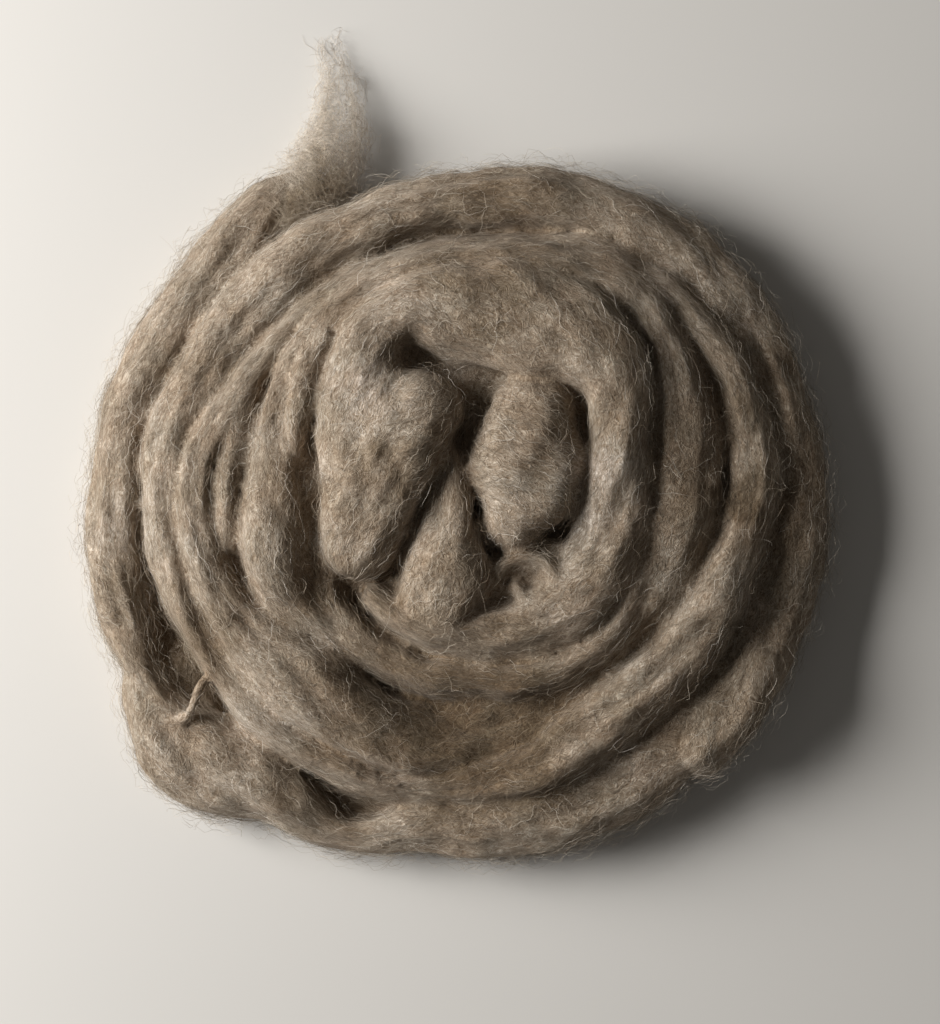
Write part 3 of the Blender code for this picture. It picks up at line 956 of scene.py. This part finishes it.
# lighter tones for the rim fibres: painted light on the hairs round the nest's outer side
rimStrand = dict(strand, tones=((0.0, (0.26, 0.205, 0.15, 1.0)), (1.0, (0.76, 0.69, 0.59, 1.0))))
# the loose end's fibres in lighter tones, painted light like its skin, and fully in its painted shade
looseStrand = dict(strand, paintedShading=1.0,
                   tones=((0.0, (0.42, 0.338, 0.257, 1.0)), (1.0, (0.87, 0.79, 0.68, 1.0))))


def newGroup(name, output, *numbers):
    # makes one number from a place and these numbers
    tree = bpy.data.node_groups.new(name, "ShaderNodeTree")
    tree.interface.new_socket("Vector", in_out="INPUT", socket_type="NodeSocketVector")
    for label in numbers:
        tree.interface.new_socket(label, in_out="INPUT", socket_type="NodeSocketFloat")
    tree.interface.new_socket(output, in_out="OUTPUT", socket_type="NodeSocketFloat")
    return Tree(tree), tree.nodes.new("NodeGroupInput").outputs


# painted shade and painted light, as one factor for the colour
def makePaintedShadeGroup(name, spots):
    t, given = newGroup(name, "Shade")
    where = t.vector("MULTIPLY", given["Vector"], (1000.0, 1000.0, 0.0))
    ragged = t.clouds(where, paintedShadeEdge["raggedScale"], 3.0).outputs["Color"]
    reach = (paintedShadeEdge["ragged"], paintedShadeEdge["ragged"], 0.0)
    where = t.vector("ADD", where, t.vector("MULTIPLY", t.vector("SUBTRACT", ragged, (0.5, 0.5, 0.5)), reach))
    shade = 1.0
    # each spot darkens the colour round it as painted shade, or lightens it as painted light where its
    # strength is below nought
    for x, y, radius, strength in spots:
        away = t.vector("LENGTH", t.vector("SUBTRACT", where, (x, y, 0.0)))
        ends = (radius * paintedShadeEdge["from"], radius * paintedShadeEdge["to"])
        shade = t.times(shade, t.mapped(away, ends, (1.0 - strength, 1.0), "SMOOTHSTEP"))
    t.add("NodeGroupOutput", {0: shade})
    return t.tree


def makeStreakGroup():
    t, given = newGroup("fibreStreaks", "Streak", "Turn", "Length", "Width", "Shift")
    shift = given["Shift"]
    moved = t.vector("ADD", t.scaled(given["Vector"], 1000.0),
                     t.joined(shift, t.times(shift, streak["shift"]), shift))
    turned = t.add("ShaderNodeVectorRotate", {"Vector": moved, "Angle": given["Turn"]},
                   rotation_type="Z_AXIS").outputs[0]
    x, y, _ = t.split(turned)
    swing = t.clouds(turned, streak["bendScale"], 1.0, noise_dimensions="2D").outputs[0]
    side = t.plus(y, t.times(t.minus(swing, 0.5), streak["bend"]))
    place = t.joined(t.math("DIVIDE", x, given["Length"]), t.math("DIVIDE", side, given["Width"]))
    pattern = t.clouds(place, 1.0, 2.0, streak["fineness"], noise_dimensions="2D").outputs[0]
    t.add("NodeGroupOutput", {0: t.mapped(pattern, streak["contrast"])})
    return t.tree


patchAndShadeBrowning = {"green": 1.15, "blue": 1.4}     # powers of the darkness, so that the wool's darker patches and its painted shade turn browner


class MaterialTree(Tree):
    # what skin and fibres have in common: a Principled shader and the painted shade and light
    def __init__(self, name, look, paintedShading):
        self.material = bpy.data.materials.new(name)
        self.material.use_nodes = True
        super().__init__(self.material.node_tree)
        self.inputs = self.tree.nodes["Principled BSDF"].inputs
        for label, value in look["shader"].items():
            self.inputs[label].default_value = value
        self.where = self.add("ShaderNodeTexCoord").outputs["Object"]
        self.shade = self.group(paintedShading, self.where)

    def feed(self, label, value):
        self.tree.links.new(value, self.inputs[label])

    # darker colours turn browner, both the wool's own patches and the painted shade
    def browned(self, colour, strength):
        powers = (self.math("POWER", strength, power) for power in patchAndShadeBrowning.values())
        return self.vector("MULTIPLY", colour, self.joined(strength, *powers))


def makeWool(name, look, streaks, paintedShading):
    t = MaterialTree(name, look, paintedShading)
    flow = t.add("ShaderNodeUVMap", uv_map="flow").outputs[0]
    total = 0.0
    for number, (length, width, turnBy, weight) in enumerate(look["layers"]):
        layer = t.group(streaks, flow, turnBy, length, width, look["layerShift"] * number)
        total = t.plus(total, t.times(layer, weight))
    crisp = t.mapped(total, look["contrast"])
    patch = t.clouds(t.where, look["patchScale"], 3.0, look["patchFineness"]).outputs[0]
    strength = t.mapped(patch, look["patchEdge"], (1 - look["patch"], 1 + look["patch"]))
    tint = t.clouds(t.vector("ADD", t.where, (3.0, 1.0, 2.0)), look["tintScale"], 2.0).outputs[0]
    # the wool's own broad patches, times the painted shade and light
    colour = t.browned(t.ramp(crisp, look["tones"]), t.times(strength, t.shade))
    tints = t.ramp(t.mapped(tint, look["tintEdge"]), look["tints"])
    t.feed("Base Color", t.vector("MULTIPLY", colour, tints))
    raised = t.add("ShaderNodeBump", {"Height": crisp, "Distance": look["bump"], "Strength": 1.0})
    t.feed("Normal", raised.outputs[0])
    if "open" in look:
        # the loose end thins out to separate wisps
        thin = t.add("ShaderNodeAttribute", attribute_name="thin").outputs["Fac"]
        atRoot, more, cover = look["open"]
        low = t.plus(t.times(thin, more), atRoot)
        t.feed("Alpha", t.mapped(total, (low, t.plus(low, cover))))
    return t.material


def makeFibreMaterial(name, look, paintedShading):
    t = MaterialTree(name, look, paintedShading)
    tone = t.add("ShaderNodeAttribute", attribute_name="tone").outputs["Fac"]
    # the fibres take only part of the painted shade and light
    shade = t.math("POWER", t.shade, look["paintedShading"])
    t.feed("Base Color", t.browned(t.ramp(tone, look["tones"]), shade))
    return t.material


print("roving: mixing the wool's colours")
streaks = makeStreakGroup()
paintedShading, loosePaintedShading = makePaintedShadeGroup("woolPaintedShadeAndLight", paintedShadeAndLight), makePaintedShadeGroup("loosePaintedShade", loosePaintedShade)
woolSkin = makeWool("greyBrownWool", wool, streaks, paintedShading)
looseSkin = makeWool("looseWool", loose, streaks, loosePaintedShading)
fibreSkin = makeFibreMaterial("woolFibre", strand, paintedShading)
rimFibreSkin = makeFibreMaterial("rimFibre", rimStrand, paintedShading)
looseFibreSkin = makeFibreMaterial("looseFibre", looseStrand, loosePaintedShading)

print("roving: growing fibres")
lyingTree, bridgingTree = makeLyingTree(), makeBridgingTree()
for name, values in {**fibres, **bridges}.items():
    onEnd = "skin" in values
    tree = bridgingTree if name in bridges else lyingTree
    colour = looseFibreSkin if onEnd else rimFibreSkin if name == "rim" else fibreSkin
    hairs = growFibres(name + "Fibres", (looseMesh if onEnd else nestMesh).copy(), tree, values, colour)
    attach(hairs, "root")
    print("   ", name, sum(len(face.vertices) - 2 for face in hairs.data.polygons), "triangles")

print("roving: placing the skins")
nestMesh.materials.append(woolSkin)
body = addObject("nest", nestMesh)
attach(body, "root")
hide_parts("wound_roving")

looseMesh.materials.append(looseSkin)
tail = addObject("looseEnd", looseMesh)
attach(tail, "root")
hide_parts("loose_end")
